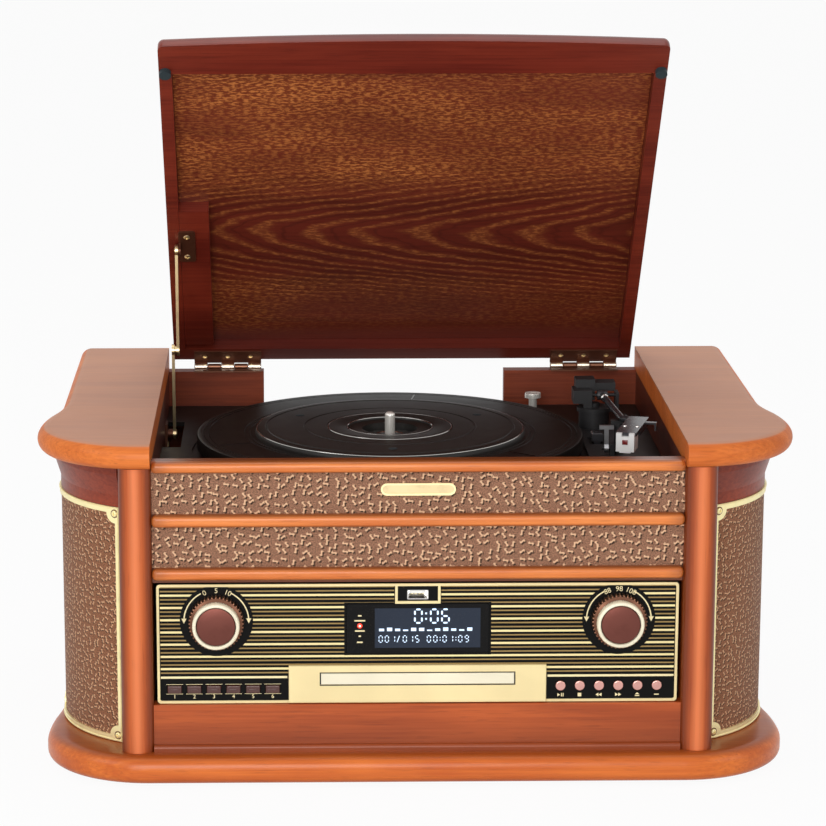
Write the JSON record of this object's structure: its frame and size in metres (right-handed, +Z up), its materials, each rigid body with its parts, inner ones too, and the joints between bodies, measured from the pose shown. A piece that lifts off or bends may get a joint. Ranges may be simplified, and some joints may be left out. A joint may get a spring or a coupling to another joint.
{
  "type": "stereo music centre",
  "caption": "Wooden table-top music centre: lidded record deck, radio and disc fascia with knobs and buttons, and a bowed gilt-framed loudspeaker bay at each front corner.",
  "frame": {"origin": "middle of the width and of the cabinet's depth, on the surface that the feet stand on", "axes": "+X to the right seen from the front, +Y to the back, +Z up"},
  "size_m": [0.505, 0.3461, 0.4865],
  "materials": {
    "satin_wood": "satin lacquered orange-brown wood veneer",
    "dark_wood": "gloss dark red-brown stained wood",
    "lid_veneer": "gloss red mahogany veneer",
    "raw_board": "plain fibreboard",
    "grille_cloth": "woven brown-pink cloth with a raised squiggle",
    "gilt": "satin gilt",
    "black_plastic": "gloss black",
    "cream_plastic": "satin cream",
    "brown_plastic": "gloss brown",
    "display_glass": "clear window over a slate-blue display",
    "steel": "plain steel",
    "dark_plastic": "plain dark moulding",
    "rubber_black": "plain black",
    "board_green": "green laminate with plain blocks",
    "button_plastic": "gilt-coloured plastic"
  },
  "bodies": {
    "cabinet": {"plinth": "satin_wood", "rubber_feet": "rubber_black", "cabinet_sides": "satin_wood", "speaker_baffles": "raw_board", "speaker_drivers": "dark_plastic", "friezes": "dark_wood", "grille_frames": "gilt", "grille_cloths": "grille_cloth", "grille_screws": "gilt", "front_frame": "satin_wood", "front_rails": "satin_wood", "front_cloths": "grille_cloth", "arm_tops": "satin_wood", "back_board": "satin_wood", "deck_plate": "black_plastic", "fascia_panel": "black_plastic", "fascia_trim": "cream_plastic", "display_window": "display_glass", "usb_socket": "steel", "main_board": "board_green", "power_transformer": "steel", "cd_mechanism": "dark_plastic", "drive_motor": "steel", "drive_belt": "rubber_black", "spindle": "steel", "transit_screw": "steel", "tonearm_base": "black_plastic", "deck_hinge_leaves": "gilt", "stay_body_bracket": "gilt", "rear_sockets": "dark_plastic"},
    "lid": {"lid_shell": "dark_wood", "lid_panel": "lid_veneer", "lid_bumpers": "rubber_black", "stay_block": "dark_wood", "stay_lid_bracket": "gilt", "lid_hinge_leaves": "gilt"},
    "stay_upper": {"stay_upper_arm": "gilt"},
    "stay_lower": {"stay_lower_arm": "gilt"},
    "platter_body": {"platter": "black_plastic"},
    "pulley": {"motor_pulley": "steel"},
    "turret": {"tonearm_turret": "black_plastic"},
    "arm": {"tonearm": "black_plastic", "cartridge": "cream_plastic"},
    "cue": {"cue_lever": "cream_plastic"},
    "speed": {"speed_selector": "black_plastic"},
    "volume": {"volume_knob": "brown_plastic"},
    "tuning": {"tuning_knob": "brown_plastic"},
    "drawer": {"cd_tray": "dark_plastic"},
    "key_1_body": {"key_1": "button_plastic"},
    "key_2_body": {"key_2": "button_plastic"},
    "key_3_body": {"key_3": "button_plastic"},
    "key_4_body": {"key_4": "button_plastic"},
    "key_5_body": {"key_5": "button_plastic"},
    "key_6_body": {"key_6": "button_plastic"},
    "round_1_body": {"round_button_1": "button_plastic"},
    "round_2_body": {"round_button_2": "button_plastic"},
    "round_3_body": {"round_button_3": "button_plastic"},
    "round_4_body": {"round_button_4": "button_plastic"},
    "round_5_body": {"round_button_5": "button_plastic"},
    "round_6_body": {"round_button_6": "button_plastic"}
  },
  "joints": [
    {"name": "lid_hinge", "type": "hinge", "parent": "cabinet", "child": "lid", "pos_m": [0, 0.166, 0.2184], "axis": [1, 0, 0], "range_deg": [0, 49.2]},
    {"name": "stay_lower_pivot", "type": "hinge", "parent": "cabinet", "child": "stay_lower", "pos_m": [-0.1685, 0.09, 0.184], "axis": [1, 0, 0], "range_deg": [0, 123.42]},
    {"name": "stay_upper_pivot", "type": "hinge", "parent": "lid", "child": "stay_upper", "pos_m": [-0.165, 0.07683, 0.32109], "axis": [1, 0, 0], "range_deg": [-46.72, 0]},
    {"name": "platter_spin", "type": "hinge", "parent": "cabinet", "child": "platter_body", "pos_m": [-0.0139, 0.009, 0.195], "axis": [0, 0, 1], "continuous": true},
    {"name": "pulley_spin", "type": "hinge", "parent": "cabinet", "child": "pulley", "pos_m": [-0.08744, 0.08254, 0.196], "axis": [0, 0, 1], "continuous": true},
    {"name": "tonearm_swing", "type": "hinge", "parent": "cabinet", "child": "turret", "pos_m": [0.136, 0.075, 0.203], "axis": [0, 0, 1], "range_deg": [-50, 0]},
    {"name": "tonearm_lift", "type": "hinge", "parent": "turret", "child": "arm", "pos_m": [0.1417, 0.075, 0.2145], "axis": [1, 0, 0], "range_deg": [-8, 0]},
    {"name": "cue_lever_turn", "type": "hinge", "parent": "cabinet", "child": "cue", "pos_m": [0.1362, -0.017, 0.196], "axis": [1, 0, 0], "range_deg": [0, 40]},
    {"name": "speed_slide", "type": "slide", "parent": "cabinet", "child": "speed", "axis": [0, 1, 0], "range_m": [-0.004, 0.004]},
    {"name": "volume_turn", "type": "hinge", "parent": "cabinet", "child": "volume", "pos_m": [-0.133, -0.1515, 0.1105], "axis": [0, -1, 0], "range_deg": [-150, 150]},
    {"name": "tuning_turn", "type": "hinge", "parent": "cabinet", "child": "tuning", "pos_m": [0.133, -0.1515, 0.1105], "axis": [0, -1, 0], "continuous": true},
    {"name": "drawer_slide", "type": "slide", "parent": "cabinet", "child": "drawer", "axis": [0, -1, 0], "range_m": [0, 0.13]},
    {"name": "key_1_press", "type": "slide", "parent": "cabinet", "child": "key_1_body", "axis": [0, 1, 0], "range_m": [0, 0.0012], "stiffness_N_per_m": 400},
    {"name": "key_2_press", "type": "slide", "parent": "cabinet", "child": "key_2_body", "axis": [0, 1, 0], "range_m": [0, 0.0012], "stiffness_N_per_m": 400},
    {"name": "key_3_press", "type": "slide", "parent": "cabinet", "child": "key_3_body", "axis": [0, 1, 0], "range_m": [0, 0.0012], "stiffness_N_per_m": 400},
    {"name": "key_4_press", "type": "slide", "parent": "cabinet", "child": "key_4_body", "axis": [0, 1, 0], "range_m": [0, 0.0012], "stiffness_N_per_m": 400},
    {"name": "key_5_press", "type": "slide", "parent": "cabinet", "child": "key_5_body", "axis": [0, 1, 0], "range_m": [0, 0.0012], "stiffness_N_per_m": 400},
    {"name": "key_6_press", "type": "slide", "parent": "cabinet", "child": "key_6_body", "axis": [0, 1, 0], "range_m": [0, 0.0012], "stiffness_N_per_m": 400},
    {"name": "round_1_press", "type": "slide", "parent": "cabinet", "child": "round_1_body", "axis": [0, 1, 0], "range_m": [0, 0.0012], "stiffness_N_per_m": 400},
    {"name": "round_2_press", "type": "slide", "parent": "cabinet", "child": "round_2_body", "axis": [0, 1, 0], "range_m": [0, 0.0012], "stiffness_N_per_m": 400},
    {"name": "round_3_press", "type": "slide", "parent": "cabinet", "child": "round_3_body", "axis": [0, 1, 0], "range_m": [0, 0.0012], "stiffness_N_per_m": 400},
    {"name": "round_4_press", "type": "slide", "parent": "cabinet", "child": "round_4_body", "axis": [0, 1, 0], "range_m": [0, 0.0012], "stiffness_N_per_m": 400},
    {"name": "round_5_press", "type": "slide", "parent": "cabinet", "child": "round_5_body", "axis": [0, 1, 0], "range_m": [0, 0.0012], "stiffness_N_per_m": 400},
    {"name": "round_6_press", "type": "slide", "parent": "cabinet", "child": "round_6_body", "axis": [0, 1, 0], "range_m": [0, 0.0012], "stiffness_N_per_m": 400}
  ],
  "couplings": [
    {"joint": "stay_lower_pivot", "follows": "lid_hinge", "ratio": 2.5045},
    {"joint": "stay_upper_pivot", "follows": "lid_hinge", "ratio": -0.9456},
    {"joint": "pulley_spin", "follows": "platter_spin", "ratio": 12.343}
  ]
}
